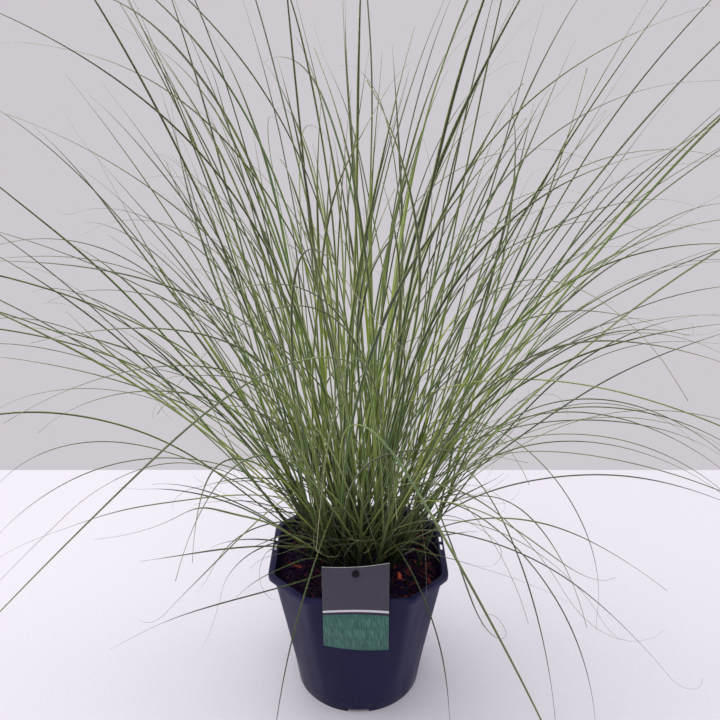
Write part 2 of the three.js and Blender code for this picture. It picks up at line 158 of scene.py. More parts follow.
# Leaves that stand out singly, as in the part's source: shoot, height of the root on it, compass
# heading and its drift, first and last slope, how late they bend, length, and curl of the tip.
LONE_LEAVES = (
    (3, 230, 251, 1, 39, 103, 0.6, 760, 0),
    (0, 175, 321, 8, 27, 124, 0.7, 655, 0),
    (21, 185, 321, 3, 22, 181, 0.6, 385, 0),
    (42, 145, 293, -11, 45, 155, 0.6, 380, 0),
    (42, 70, 313, -2, 28, 172, 0.6, 415, 0),
    (11, 25, 299, -9, 39, 170, 0.6, 330, 0),
    (26, 145, 270, 43, 48, 179, 0.7, 260, -265),
    (40, 50, 265, -20, 29, 168, 0.7, 465, 0),
    (25, 110, 207, 1, 59, 95, 0.6, 295, 0),
    (25, 20, 233, -11, 51, 72, 0.6, 295, 0),
    (28, 20, 236, -39, 74, 112, 2.9, 285, 0),
    (33, 135, 250, -20, 63, 112, 0.6, 240, 0),
    (31, 135, 324, -11, 42, 123, 0.6, 280, -90),
)

# Fine leaves: millimetres, and shares of a width or length
SECTION_ACROSS = (1, 0.5, 0, -0.5, -1, -0.5, 0, 0.5)
SECTION_DEPTH = (0, 0, 0, 0, 0, 0.32, 0.6, 0.32)
THIN_DEPTH = 1.6
FOLD = (0.8, 0.35)
WIDTH_RANGE = (0.55, 1.15)
LONE_WIDTH_RANGE = (0.7, 1.0)
FINE_TIP_SHARE = 0.05
FINE_NARROWING = 3.0
TIP_HALF_WIDTH = 0.26
THREAD_SHARE = 0.35
THREAD_LENGTH = (25, 110)
THREAD_TURN = (20, 210)
THREAD_HALF_WIDTH = 0.12
THREAD_STEPS = 9
SWAY = 3.5
SWAY_LENGTH = 400
SWAY_WAVES = (0.8, 2.2)
BOX_MARGIN = 4
FINE_SEED = 9100
FINE_SEED_STEP = 37

# A leaf's last slopes, in radians, between which it grows finer
BENT_FROM = 1.1
BENT_TO = 2.2
BENT_WIDTH = 0.6

# Short leaves low on the stems: millimetres and degrees
BASAL_LEAVES = 3
BASAL_DRAWS = 8
BASAL_LENGTH = (80, 260)
BASAL_WIDTH = (1.3, 2.6)
BASAL_ROOT = (2, 70)
BASAL_START = (4, 50)
BASAL_BEND = (25, 95)
BASAL_LATE = (0.7, 2)
BASAL_SPREAD = 110
BASAL_DRIFT = 50
BASAL_CURL = 60
BASAL_TWIST = 80

# Fine stems, and the rolled young leaf at the top of each
STEM_SIDES = 10
STEM_FOOT_SWELL = 0.25
SHEATH_SWELL = 0.3
SHEATH_END_SWELL = -0.25
STEM_TOP_SWELL = -0.05
SHEATH_END = 2
LOWEST_SHEATH = 12
SPEAR_LENGTH = (60, 170)
SPEAR_STEPS = 9
SPEAR_SUNK = 3
SPEAR_LEAN = 0.22

# What a point belongs to, for the leaf's material
UNDERSIDE = 0.0
FACE = 0.25
STEM = 1.0

# A tube's strip of the map
MAP_SIDE_MARGIN = 0.1
MAP_END_MARGIN = 0.02
MAP_CAP = (0.3, 0.008)

# One turn in radians, roughly, for draws
TURN = 6.28

radians = math.radians


def mix(a, b, t):
    return (1 - t) * a + t * b


def swing(limit, random):
    """A draw between a limit and its opposite."""
    return mix(-limit, limit, random())


def stream(seed):
    """Numbers from 0 to 1 that are the same on every run, and the same as in the part's source."""
    mask = 0xFFFFFFFF
    state = seed & mask

    def draw():
        nonlocal state
        state = (state + 0x6D2B79F5) & mask
        t = ((state ^ (state >> 15)) * (state | 1)) & mask
        t ^= (t + (((t ^ (t >> 7)) * (t | 61)) & mask)) & mask
        return (t ^ (t >> 14)) / 4294967296

    return draw


# Growth


def direction(slope, heading):
    """The direction of a slope from the vertical and a compass heading, both in radians."""
    level = np.sin(slope)
    return np.stack([level * np.cos(heading), level * np.sin(heading), np.cos(slope)], -1)


def soil_top(x, y):
    return SOIL_EDGE_HEIGHT + SOIL_RISE * max(0, 1 - math.hypot(x, y) / SOIL_RISE_RADIUS)


def make_shoot(index):
    random = stream(SHOOT_SEED + index)
    spread = math.sqrt((index + 0.5) / SHOOTS)
    around = radians(GOLDEN_ANGLE * index)
    slope = abs(radians(CROWN_LEAN * spread + swing(LEAN_DRAW, random)))
    heading = around + radians(swing(HEADING_DRAW, random))
    length = mix(*STEM_LENGTH, spread * (1 - STEM_LENGTH_DRAW) + STEM_LENGTH_DRAW * random())
    fan = radians(360 * random())
    x = CROWN_RADIUS * spread * math.cos(around)
    y = CROWN_RADIUS * spread * math.sin(around)
    base = np.array([x, y, soil_top(x, y)])
    return SimpleNamespace(
        index=index, base=base, along=direction(slope, heading), length=length, fan=fan, leaves=[]
    )


def make_side_shoot():
    """The shoot that stands apart from the clump."""
    shoot = make_shoot(SHOOTS)
    x, y = SIDE_SHOOT["x"], SIDE_SHOOT["y"]
    shoot.base = np.array([x, y, soil_top(x, y)])
    shoot.along = direction(radians(SIDE_SHOOT["lean"]), radians(SIDE_SHOOT["heading"]))
    shoot.length = SIDE_SHOOT["length"]
    return shoot


def on_stem(shoot, rise):
    return shoot.base + shoot.along * rise


def leaf_line(leaf):
    """The leaf's centre line, which bends from its first slope to its last while its heading drifts."""
    share = (np.arange(LEAF_STEPS) + 0.5) / LEAF_STEPS
    slope = mix(leaf.start, leaf.end, share**leaf.late) + leaf.curl * share**CURL_POWER
    heading = leaf.heading + leaf.drift * share
    steps = direction(slope, heading) * leaf.length / LEAF_STEPS
    return np.vstack([leaf.root, leaf.root + np.cumsum(steps, 0)])


def leaf_width(share):
    narrowing = LEAF_TIP_SHARE + LEAF_NARROWING * (1 - share)
    return LEAF_WIDTH * min(LEAF_ROOT_SHARE + LEAF_WIDENING * share, 1, narrowing)


def ring_steps(leaf):
    """The steps of the centre line at which the plain solid leaf has its rings."""
    bend = math.degrees(abs(leaf.end - leaf.start) + abs(leaf.curl))
    fewest, most = RING_SPANS
    spans = min(max(math.ceil(bend / BEND_PER_RING), fewest), most)
    return [math.floor(i * LEAF_STEPS / spans + 0.5) for i in range(spans + 1)]


def is_free(points):
    """True where leaves keep off the soil, the pot, the floor, and the card and the view of it."""
    x, y, z = points.T
    radius = np.hypot(x, y)
    by_pot = radius < RIM["corner"] + CLEAR_OF_RIM
    over_pot = np.where(by_pot, POT_HEIGHT + CLEAR_OVER_POT, CLEAR_OVER_FLOOR)
    over_soil = SOIL_EDGE_HEIGHT + SOIL_RISE + CLEAR_OVER_SOIL
    lowest = np.where(radius < MOUTH["front"] - CLEAR_OF_MOUTH, over_soil, over_pot)
    card_view = CARD_TOP + CLEAR_OVER_CARD + CARD_VIEW_SLOPE * np.maximum(0, CARD_FRONT - y)
    near_card = np.abs(x - CARD_MIDDLE) < CARD_WIDTH / 2 + CLEAR_OF_CARD
    near_card &= (y < STAKE["footY"] + CLEAR_OF_CARD) & (z < card_view)
    return bool(np.all((z > lowest) & ~near_card))


def is_clear(line):
    return is_free(line[1:]) and is_free((line[1:] + line[:-1]) / 2)


def stretch_gaps(a, b, c, d):
    """The least distances between each straight stretch a to b and each c to d."""
    u = (b - a)[:, None]
    v = (d - c)[None]
    w = a[:, None] - c[None]
    uu, vv, uv = (u * u).sum(2), (v * v).sum(2), (u * v).sum(2)
    uw, vw = (u * w).sum(2), (v * w).sum(2)
    square = uu * vv - uv * uv
    crossing = square > 1e-9
    first = np.clip((uv * vw - vv * uw) / np.where(crossing, square, 1), 0, 1)
    first = np.where(crossing, first, 0)
    t = np.clip((uv * first + vw) / vv, 0, 1)
    s = np.clip((uv * t - uw) / uu, 0, 1)
    return np.linalg.norm(w + u * s[..., None] - v * t[..., None], axis=2)


class Taken:
    """The straight stretches that stand already: ends, end clear of the root, half width, shoot."""

    def __init__(self):
        self.rows = np.zeros((0, 11))

    def add(self, start, end, clear, half, shoot):
        rows = np.column_stack([start, end, clear, half, np.full(len(half), shoot)])
        self.rows = np.vstack([self.rows, rows])

    def meets(self, start, end, clear, half, shoot):
        low = np.minimum(start, end).min(0) - 2 * LEAF_WIDTH
        high = np.maximum(start, end).max(0) + 2 * LEAF_WIDTH
        lowest = np.minimum(self.rows[:, :3], self.rows[:, 3:6])
        highest = np.maximum(self.rows[:, :3], self.rows[:, 3:6])
        near = self.rows[np.all((lowest <= high) & (highest >= low), axis=1)]
        same = near[:, 10] == shoot
        groups = (near[~same], start, slice(0, 3)), (near[same], clear, slice(6, 9))
        for rows, own, theirs in groups:
            gaps = stretch_gaps(own, end, rows[:, theirs], rows[:, 3:6])
            if np.any(gaps < half[:, None] + rows[:, 9] + GAP):
                return True
        return False


def place_leaf(shoot, taken, leaf):
    """Adds the leaf to its shoot if it is clear of everything that stands there already."""
    leaf.line = leaf_line(leaf)
    if not is_clear(leaf.line):
        return False
    steps = ring_steps(leaf)
    start = leaf.line[steps[:-1]]
    end = leaf.line[steps[1:]]
    half = np.array([leaf_width(step / LEAF_STEPS) / 2 for step in steps])
    half = np.maximum(half[:-1], half[1:])
    clear = start.copy()
    clear[0] += (end[0] - start[0]) * min(ROOT_STRETCH / np.linalg.norm(end[0] - start[0]), 0.98)
    if taken.meets(start, end, clear, half, shoot.index):
        return False
    taken.add(start, end, clear, half, shoot.index)
    shoot.leaves.append(leaf)
    return True


def draw_leaf(shoot, rank, draw):
    seed = SHOOT_SEED * SEED_STEPS["clump"] + shoot.index * SEED_STEPS["shoot"]
    random = stream(seed + rank * SEED_STEPS["rank"] + draw)
    height = (rank + 1) / (LEAF_RANKS + 1)
    opening = radians(mix(*OPENING, height) * mix(*OPENING_DRAW, random()))
    sideways = shoot.fan + math.pi * (rank % 2) + radians(swing(SIDE_SPREAD, random))
    first = shoot.along + direction(math.pi / 2, sideways) * math.tan(opening)
    first /= np.linalg.norm(first)
    start = math.acos(first[2])
    bend = mix(*BEND, random() ** BEND_POWER)
    bend += BEND_BY_LEAN * start / radians(LEAN_UNIT) * mix(*LEAN_DRAWS, random())
    bend = radians(bend + BEND_LOW * (1 - height) * random())
    rise = mix(*ROOT_HEIGHT, height) * shoot.length
    return SimpleNamespace(
        root=on_stem(shoot, rise - LEAF_SUNK),
        rise=rise,
        heading=math.atan2(first[1], first[0]),
        drift=radians(swing(DRIFT, random)),
        start=start,
        end=min(start + bend, radians(MOST_BENT)),
        late=mix(*LATE, random()),
        length=mix(mix(*LOW_LENGTH, random()), mix(*HIGH_LENGTH, random()), height**LENGTH_POWER),
        twist=radians(swing(TWIST, random)),
        curl=0,
        width_range=WIDTH_RANGE,
    )


def lone_leaf(shoot, rise, heading, drift, start, end, late, length, curl):
    return SimpleNamespace(
        root=on_stem(shoot, rise), rise=rise + LEAF_SUNK, heading=radians(heading), drift=radians(drift),
        start=radians(start), end=radians(end), late=late, length=length, twist=0, curl=radians(curl),
        width_range=LONE_WIDTH_RANGE,
    )


def grow_clump():
    shoots = [make_shoot(i) for i in range(SHOOTS)] + [make_side_shoot()]
    taken = Taken()
    for shoot in shoots:
        tip = on_stem(shoot, shoot.length)
        near_tip = tip + (shoot.base - tip) * 0.01
        half = np.array([STEM_RADIUS[0]])
        taken.add(shoot.base[None], tip[None], near_tip[None], half, shoot.index)
    for index, *shape in LONE_LEAVES:
        place_leaf(shoots[index], taken, lone_leaf(shoots[index], *shape))
    for rank in range(LEAF_RANKS, 0, -1):
        for shoot in shoots:
            for draw in range(DRAWS_PER_LEAF):
                if place_leaf(shoot, taken, draw_leaf(shoot, rank, draw)):
                    break
    return shoots


# Meshes


def ring_faces(rows, sides, first=0):
    """The faces of a tube through rows of points, and of its two ends."""
    index = first + np.arange(rows * sides).reshape(rows, sides)
    beside = np.roll(index, -1, axis=1)
    quads = np.stack([index[:-1], beside[:-1], beside[1:], index[1:]], -1).reshape(-1, 4)
    return quads.tolist() + [index[0, ::-1].tolist(), index[-1].tolist()]


def new_mesh(name, points, faces):
    """A mesh from points in millimetres."""
    mesh = bpy.data.meshes.new(name)
    mesh.from_pydata((np.array(points) * MM).tolist(), [], faces)
    return mesh


class Tubes:
    """Gathers closed tubes into one mesh, each with values at its points and a strip of the map."""

    VALUES = ("across", "along", "tone", "kind")

    def __init__(self):
        self.points = []
        self.faces = []
        self.values = []
        self.corners = []
        self.count = 0

    def add(self, rings, *values):
        """Rings are (rows, sides, 3) in millimetres, turning to the left of the way that they run."""
        rows, sides = rings.shape[:2]
        self.faces += ring_faces(rows, sides, self.count)
        self.corners.append(self.strip(rows, sides) + (len(self.points), 0))
        self.points.append(rings.reshape(-1, 3))
        spread = [np.broadcast_to(value, (rows, sides)).ravel() for value in values]
        self.values.append(np.stack(spread, 1))
        self.count += rows * sides

    @staticmethod
    def strip(rows, sides):
        """The places on the map of a tube's corners: of its sides, and then of its two ends."""
        row, side = np.meshgrid(np.arange(rows - 1), np.arange(sides), indexing="ij")
        up = np.stack([row, row, row + 1, row + 1], -1).reshape(-1, 4) / (rows - 1)
        over = np.stack([side, side + 1, side + 1, side], -1).reshape(-1, 4) / sides
        u = MAP_SIDE_MARGIN + (1 - 2 * MAP_SIDE_MARGIN) * over
        v = MAP_END_MARGIN + (1 - 2 * MAP_END_MARGIN) * up
        body = np.stack([u, v], -1).reshape(-1, 2)
        turn = 2 * np.pi * np.arange(sides) / sides
        cap = np.stack([0.5 + MAP_CAP[0] * np.cos(turn), MAP_CAP[1] * np.sin(turn)], -1)
        first = cap[::-1] + (0, MAP_END_MARGIN / 2)
        last = cap + (0, 1 - MAP_END_MARGIN / 2)
        return np.vstack([body, first, last])

    def mesh(self, name):
        made = new_mesh(name, np.vstack(self.points), self.faces)
        values = np.vstack(self.values).astype(np.float32)
        for column, value in enumerate(self.VALUES):
            attribute = made.attributes.new(value, "FLOAT", "POINT")
            attribute.data.foreach_set("value", np.ascontiguousarray(values[:, column]))
        corners = np.vstack(self.corners) / (len(self.points), 1)
        made.uv_layers.new(name="OFBake").data.foreach_set("uv", corners.astype(np.float32).ravel())
        made.shade_smooth()
        return made


def in_scene(name, data):
    made = bpy.data.objects.new(name, data)
    bpy.context.scene.collection.objects.link(made)
    return made


def new_piece(name, mesh, material, replaced):
    piece = in_scene(name, mesh)
    mesh.materials.append(material)
    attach(piece, "root")
    if replaced:
        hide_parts(replaced)
    return piece


def unit(vectors):
    return vectors / np.linalg.norm(vectors, axis=-1, keepdims=True)


def smoothed(line):
    """A line with a new point on a smooth curve between each two of its own."""
    ends = np.vstack([2 * line[0] - line[1], line, 2 * line[-1] - line[-2]])
    between = (9 * (ends[1:-2] + ends[2:-1]) - ends[:-3] - ends[3:]) / 16
    made = np.empty((2 * len(line) - 1, 3))
    made[::2] = line
    made[1::2] = between
    return made


def swayed(line, share, flat, random):
    """The line with a slight sway to the sides and up, which grows from nothing at the root."""
    reach = SWAY * min(1, np.linalg.norm(line[-1] - line[0]) / SWAY_LENGTH)
    for way in (flat, np.array([0, 0, 1])):
        waves = mix(*SWAY_WAVES, random())
        phase = TURN * random()
        size = reach * mix(0.3, 1, random())
        line = line + way * (size * share * np.sin(TURN * waves * share + phase))[:, None]
    return line


def thread(line, random):
    """The hair-thin end of some leaves, which curls as it dries."""
    length = mix(*THREAD_LENGTH, random() ** 1.6)
    step = unit(line[-1] - line[-3])
    axis = unit(np.cross(step, unit(np.array([random() - 0.5, random() - 0.5, random() - 0.5]))))
    turn = radians(mix(*THREAD_TURN, random() ** 2)) / THREAD_STEPS
    points = [line[-1]]
    for i in range(THREAD_STEPS):
        angle = turn * (0.4 + 1.2 * i / THREAD_STEPS)
        step = step * math.cos(angle) + np.cross(axis, step) * math.sin(angle)
        points.append(points[-1] + step * length / THREAD_STEPS)
    return np.array(points[1:])


def in_bounds(points):
    low, high = (np.array(corner) / MM for corner in cad_box)
    inside = np.all((points > low + BOX_MARGIN) & (points < high - BOX_MARGIN))
    return bool(inside) and is_free(points)


def add_blade(tubes, leaf, width, random):
    """A fine leaf along its centre line: a folded blade with a keel, and for some a thread at the tip."""
    line = smoothed(leaf.line)
    share = np.linspace(0, 1, len(line))
    turn = leaf.heading + leaf.drift * share
    flat = np.stack([-np.sin(turn), np.cos(turn), np.zeros_like(turn)], 1)
    line = swayed(line, share, flat, random)
    widening = np.minimum(LEAF_ROOT_SHARE + LEAF_WIDENING * share, 1)
    narrowing = FINE_TIP_SHARE + FINE_NARROWING * (1 - share)
    half = np.maximum(width / 2 * np.minimum(widening, narrowing), TIP_HALF_WIDTH)
    along = share.copy()
    if random() < THREAD_SHARE:
        tail = thread(line, random)
        if in_bounds(tail):
            line = np.vstack([line, tail])
            half = np.append(half, np.linspace(TIP_HALF_WIDTH, THREAD_HALF_WIDTH, len(tail)))
            along = np.append(along, np.linspace(1, 1.1, len(tail)))
            flat = np.vstack([flat, np.repeat(flat[-1:], len(tail), 0)])
            share = np.append(share, np.ones(len(tail)))
    tangent = unit(np.gradient(line, axis=0))
    level = unit(flat - (flat * tangent).sum(1)[:, None] * tangent)
    upright = np.cross(tangent, level)
    angle = (leaf.twist * share)[:, None]
    side = level * np.cos(angle) + upright * np.sin(angle)
    up = upright * np.cos(angle) - level * np.sin(angle)
    across = np.array(SECTION_ACROSS)
    depth = np.array(SECTION_DEPTH)
    full = (half / (LEAF_WIDTH / 2))[:, None]
    fold = mix(*FOLD, share)[:, None]
    rise = fold * np.abs(across) * half[:, None] - depth * np.minimum(full * THIN_DEPTH, 1)
    rings = line[:, None] + side[:, None] * (across * half[:, None])[..., None]
    rings = rings + up[:, None] * rise[..., None]
    kind = np.where(depth > 0, UNDERSIDE, FACE)
    tubes.add(rings, across, along[:, None], random(), kind)


def add_round(tubes, line, radii, along, tone):
    """A round stem along a line."""
    tangent = unit(np.gradient(line, axis=0))
    side = unit(np.cross(tangent, np.array([0.3, 1, 0.1])))
    up = np.cross(tangent, side)
    angle = 2 * np.pi * np.arange(STEM_SIDES) / STEM_SIDES
    radii = radii[:, None]
    rings = line[:, None] + side[:, None] * (radii * np.cos(angle))[..., None]
    rings = rings + up[:, None] * (radii * np.sin(angle))[..., None]
    tubes.add(rings, np.cos(angle), along[:, None], tone, STEM)


def add_stem(tubes, shoot, random):
    """The stem in its leaf sheaths, each wider up to its leaf, and a rolled young leaf at its top."""
    highest = shoot.length - 2 * SPEAR_SUNK
    rises = {round(leaf.rise, 1) for leaf in shoot.leaves if LOWEST_SHEATH < leaf.rise < highest}
    places = [-CROWN_DEPTH, 0]
    swells = [STEM_FOOT_SWELL] * 2
    for rise in sorted(rises):
        places += [rise - SHEATH_END, rise + SHEATH_END]
        swells += [SHEATH_SWELL, SHEATH_END_SWELL]
    places.append(shoot.length - SPEAR_SUNK)
    swells.append(STEM_TOP_SWELL)
    share = np.clip(np.array(places) / shoot.length, 0, 1)
    radii = mix(*STEM_RADIUS, share) + np.array(swells)
    line = np.array([on_stem(shoot, place) for place in places])
    length = mix(*SPEAR_LENGTH, random())
    steps = np.linspace(0.08, 1, SPEAR_STEPS)
    lean = direction(mix(0.1, 0.8, random()), TURN * random())
    spear = on_stem(shoot, shoot.length - SPEAR_SUNK) + np.outer(steps * length, shoot.along)
    spear = spear + np.outer(steps**2 * length * SPEAR_LEAN, lean)
    line = np.vstack([line, spear])
    radii = np.append(radii, mix(STEM_RADIUS[1] * 0.8, 0.1, steps**0.8))
    along = np.append(share * 0.5, mix(0.5, 1, steps))
    add_round(tubes, line, radii, along, random())


def add_basal_leaves(tubes, shoot, random):
    """Short thin leaves low on the stem, which arch over the compost and the pot's rim."""
    outward = math.atan2(shoot.base[1], shoot.base[0])
    for _ in range(BASAL_LEAVES):
        for _ in range(BASAL_DRAWS):
            start = radians(mix(*BASAL_START, random() ** 1.3))
            leaf = SimpleNamespace(
                root=on_stem(shoot, mix(*BASAL_ROOT, random())),
                heading=outward + radians(swing(BASAL_SPREAD, random)),
                drift=radians(swing(BASAL_DRIFT, random)),
                start=start,
                end=start + radians(mix(*BASAL_BEND, random())),
                late=mix(*BASAL_LATE, random()),
                length=mix(*BASAL_LENGTH, random() ** 1.5),
                curl=radians(swing(BASAL_CURL, random)),
            )
            leaf.line = leaf_line(leaf)
            if in_bounds(leaf.line[2:]):
                leaf.twist = radians(swing(BASAL_TWIST, random))
                add_blade(tubes, leaf, mix(*BASAL_WIDTH, random()), random)
                break


def bent_width(leaf):
    """The share of its width that a leaf keeps, by how far it arches over."""
    bent = (leaf.end - BENT_FROM) / (BENT_TO - BENT_FROM)
    return mix(1, BENT_WIDTH, min(max(bent, 0), 1))


def leafy_stem(shoot, material):
    random = stream(FINE_SEED + FINE_SEED_STEP * shoot.index)
    tubes = Tubes()
    add_stem(tubes, shoot, random)
    for leaf in shoot.leaves:
        width = LEAF_WIDTH * mix(*leaf.width_range, random()) * bent_width(leaf)
        add_blade(tubes, leaf, width, random)
    add_basal_leaves(tubes, shoot, random)
    number = f"{shoot.index + 1:02d}"
    name = f"grass_stem_{number}"
    new_piece(name, tubes.mesh(name), material, f"leafy_stem_{number}")


# Pot

RIM_TOP_INSIDE = POT_HEIGHT - POT_WALL
CUT_PAST = 1
NOTCH_REACH = (7, 4)
NOTCH_SHORT = 0.5
OUTSIDE_RINGS = 12
INSIDE_RINGS = 10
ROUND_SIDES = 40
ROUNDED_ABOVE = 32
SHARP_ABOVE = 50


def eight_sided(outline, angle):
    """How far an eight-sided outline with rounded corners lies from the centre in a direction."""
    flats = [outline[k] for k in ("side", "corner", "front", "corner") * 2]
    total = sum(
        (max(0, math.cos(angle - radians(45 * i))) / distance) ** CORNER_SHARPNESS
        for i, distance in enumerate(flats)
    )
    return total ** (-1 / CORNER_SHARPNESS)


POT_COLUMNS = 240
COLUMN_ANGLES = [2 * math.pi * i / POT_COLUMNS for i in range(POT_COLUMNS)]
MOUTH_RADII = np.array([eight_sided(MOUTH, angle) for angle in COLUMN_ANGLES])
RIM_RADII = np.array([eight_sided(RIM, angle) for angle in COLUMN_ANGLES])
COLUMN_WAYS = np.array([(math.cos(a), math.sin(a)) for a in COLUMN_ANGLES])


def ring(z, radii):
    radii = np.broadcast_to(radii, POT_COLUMNS)
    return np.column_stack([COLUMN_WAYS * radii[:, None], np.full(POT_COLUMNS, z)])


def wall_ring(z, grow):
    return ring(z, mix(BASE_RADIUS - POT_WALL, MOUTH_RADII, z / RIM_TOP_INSIDE) + grow)


def ringed_mesh(name, rings):
    return new_mesh(name, np.vstack(rings), ring_faces(len(rings), POT_COLUMNS))


def box_cutter(x0, y0, z0, x1, y1, z1, turn=0.0):
    outline = (x0, y0), (x1, y0), (x1, y1), (x0, y1)
    turned_by = Matrix.Rotation(turn, 3, "Z")
    points = [turned_by @ Vector((x, y, z)) for z in (z0, z1) for x, y in outline]
    return new_mesh("cutter", points, ring_faces(2, len(outline)))


def cylinder_along_y(radius, front, back):
    angle = 2 * np.pi * np.arange(ROUND_SIDES) / ROUND_SIDES
    x = CARD_MIDDLE + radius * np.cos(angle)
    z = STUD_HEIGHT + radius * np.sin(angle)
    points = np.vstack([np.column_stack([x, np.full(ROUND_SIDES, y), z]) for y in (front, back)])
    return new_mesh("cylinder", points, [face[::-1] for face in ring_faces(2, ROUND_SIDES)])


def applied(piece):
    """The piece's mesh with its modifiers applied."""
    bpy.context.view_layer.update()
    graph = bpy.context.evaluated_depsgraph_get()
    mesh = bpy.data.meshes.new_from_object(piece.evaluated_get(graph))
    piece.modifiers.clear()
    piece.data = mesh
    return mesh


def combine(piece, meshes, operation):
    """Cuts the meshes from the piece, or joins them to it."""
    helpers = [in_scene("helper", mesh) for mesh in meshes]
    for helper in helpers:
        modifier = piece.modifiers.new("combine", "BOOLEAN")
        modifier.operation = operation
        modifier.object = helper
        modifier.solver = "EXACT"
    applied(piece)
    for helper in helpers:
        bpy.data.objects.remove(helper)


def soften(piece, width, segments):
    """Rounds the piece's sharp edges and shades the rest smooth."""
    bevel = piece.modifiers.new("bevel", "BEVEL")
    bevel.width = width * MM
    bevel.segments = segments
    bevel.limit_method = "ANGLE"
    bevel.angle_limit = radians(ROUNDED_ABOVE)
    mesh = applied(piece)
    mesh.shade_smooth()
    mesh.set_sharp_from_angle(angle=radians(SHARP_ABOVE))


def pot_rings():
    foot = BASE_RADIUS - FOOT_WIDTH
    plate_top = FOOT_HEIGHT + BASE_PLATE
    rim_bottom = POT_HEIGHT - RIM_DEPTH
    outside = [wall_ring(z, POT_WALL) for z in np.linspace(0, RIM_TOP_INSIDE, OUTSIDE_RINGS)]
    inside = [wall_ring(z, 0) for z in np.linspace(RIM_TOP_INSIDE, plate_top, INSIDE_RINGS)]
    return [
        ring(0, CENTRE_PAD_RADIUS),
        ring(FOOT_HEIGHT, CENTRE_PAD_RADIUS + 1),
        ring(FOOT_HEIGHT, foot - 1),
        ring(0, foot),
        *outside,
        ring(RIM_TOP_INSIDE, RIM_RADII - POT_WALL),
        ring(rim_bottom, RIM_RADII - POT_WALL),
        ring(rim_bottom, RIM_RADII),
        ring(POT_HEIGHT - RIM_BEVEL, RIM_RADII),
        ring(POT_HEIGHT, RIM_RADII - RIM_BEVEL),
        ring(POT_HEIGHT, MOUTH_RADII),
        *inside,
    ]


def grip_cutter(side, y):
    """A slot through the rolled rim at one side of the pot."""
    x = side * (MOUTH["side"] + RIM["side"]) / 2
    half_width, half_length = GRIP_SLOT_WIDTH / 2, GRIP_SLOT_LENGTH / 2
    return box_cutter(
        x - half_width, y - half_length, RIM_TOP_INSIDE - CUT_PAST,
        x + half_width, y + half_length, POT_HEIGHT + CUT_PAST,
    )


def drain_cutters(turn):
    """A notch in the foot, and the slot through the floor beside it."""
    inside, outside = BASE_RADIUS - NOTCH_REACH[0], BASE_RADIUS + NOTCH_REACH[1]
    half = DRAIN_NOTCH_WIDTH / 2
    notch = box_cutter(inside, -half, -CUT_PAST, outside, half, FOOT_HEIGHT - NOTCH_SHORT, turn)
    radius, depth, half = DRAIN_SLOT["radius"], DRAIN_SLOT["depth"] / 2, DRAIN_SLOT["width"] / 2
    low, high = FOOT_HEIGHT - CUT_PAST, FOOT_HEIGHT + BASE_PLATE + CUT_PAST
    slot = box_cutter(radius - depth, -half, low, radius + depth, half, high, turn)
    return notch, slot


def make_pot(material):
    piece = new_piece("pot_shell", ringed_mesh("pot_shell", pot_rings()), material, "pot")
    cutters = [grip_cutter(side, y) for side in (-1, 1) for y in GRIP_SLOTS_AT]
    for i in range(DRAIN_NOTCHES):
        cutters += drain_cutters(2 * math.pi * i / DRAIN_NOTCHES)
    combine(piece, cutters, "DIFFERENCE")
    soften(piece, 0.45, 2)


# Compost

EDGE_FALL = 3.0
EDGE_FALL_FROM = 0.8
COMPOST_RINGS = 56
LUMPS = ((22, 2.2), (6, 1.3))
LUMP_PLANE = 3.7
LUMP_NOISE = (0.9, 2.1, 4)
CHIP_SIDES = 6
CHIP_ROWS = 5
CHIP_END = 0.12
CHIP_END_WIDTH = 0.35
RAGGED = 0.06
WALL_GAP = 2


def compost_height(x, y):
    edge = math.hypot(x, y) / SOIL_RISE_RADIUS
    height = soil_top(x, y) - EDGE_FALL * max(0, edge - EDGE_FALL_FROM)
    for size, rise in LUMPS:
        height += rise * noise.fractal(Vector((x / size, y / size, LUMP_PLANE)), *LUMP_NOISE)
    return height


def make_compost(material):
    """The compost's body fills the pot, and its top is lumpy."""
    bottom = FOOT_HEIGHT + BASE_PLATE + GAP
    heights = [bottom, RIM_TOP_INSIDE / 3, RIM_TOP_INSIDE * 2 / 3, SOIL_EDGE_HEIGHT - 6]
    rings = [wall_ring(z, -GAP) for z in heights]
    edge = np.linalg.norm(wall_ring(SOIL_EDGE_HEIGHT, -GAP)[:, :2], axis=1)
    for share in np.linspace(1, 0.02, COMPOST_RINGS):
        sunk = 2 if share == 1 else 0
        flat = ring(0, edge * share)
        flat[:, 2] = [compost_height(x, y) - sunk for x, y in flat[:, :2]]
        rings.append(flat)
    mesh = ringed_mesh("compost", rings)
    mesh.shade_smooth()
    new_piece("compost", mesh, material, "soil")


def splinter(random, length, width, thick):
    """A chip of bark: a flattened bar with ragged ends."""
    angle = 2 * np.pi * np.arange(CHIP_SIDES) / CHIP_SIDES
    made = []
    for row in range(CHIP_ROWS):
        share = row / (CHIP_ROWS - 1)
        bulge = math.sin(math.pi * min(max(share, CHIP_END), 1 - CHIP_END))
        swell = (CHIP_END_WIDTH + (1 - CHIP_END_WIDTH) * bulge) * mix(0.75, 1.15, random())
        uneven = np.array([mix(0.75, 1.2, random()) for _ in range(CHIP_SIDES)])
        ragged = np.array([swing(RAGGED, random) for _ in range(CHIP_SIDES)])
        x = (share - 0.5) * length + ragged * length
        y = width / 2 * swell * uneven * np.cos(angle)
        z = thick / 2 * swell * uneven * np.sin(angle)
        made.append(np.column_stack([x, y, z]))
    return np.array(made)


def turned(rings, random, tilt):
    roll = Matrix.Rotation(radians(swing(tilt, random)), 3, "X")
    pitch = Matrix.Rotation(radians(swing(tilt, random) * 0.7), 3, "Y")
    yaw = Matrix.Rotation(TURN * random(), 3, "Z")
    return rings @ np.array(yaw @ pitch @ roll).T


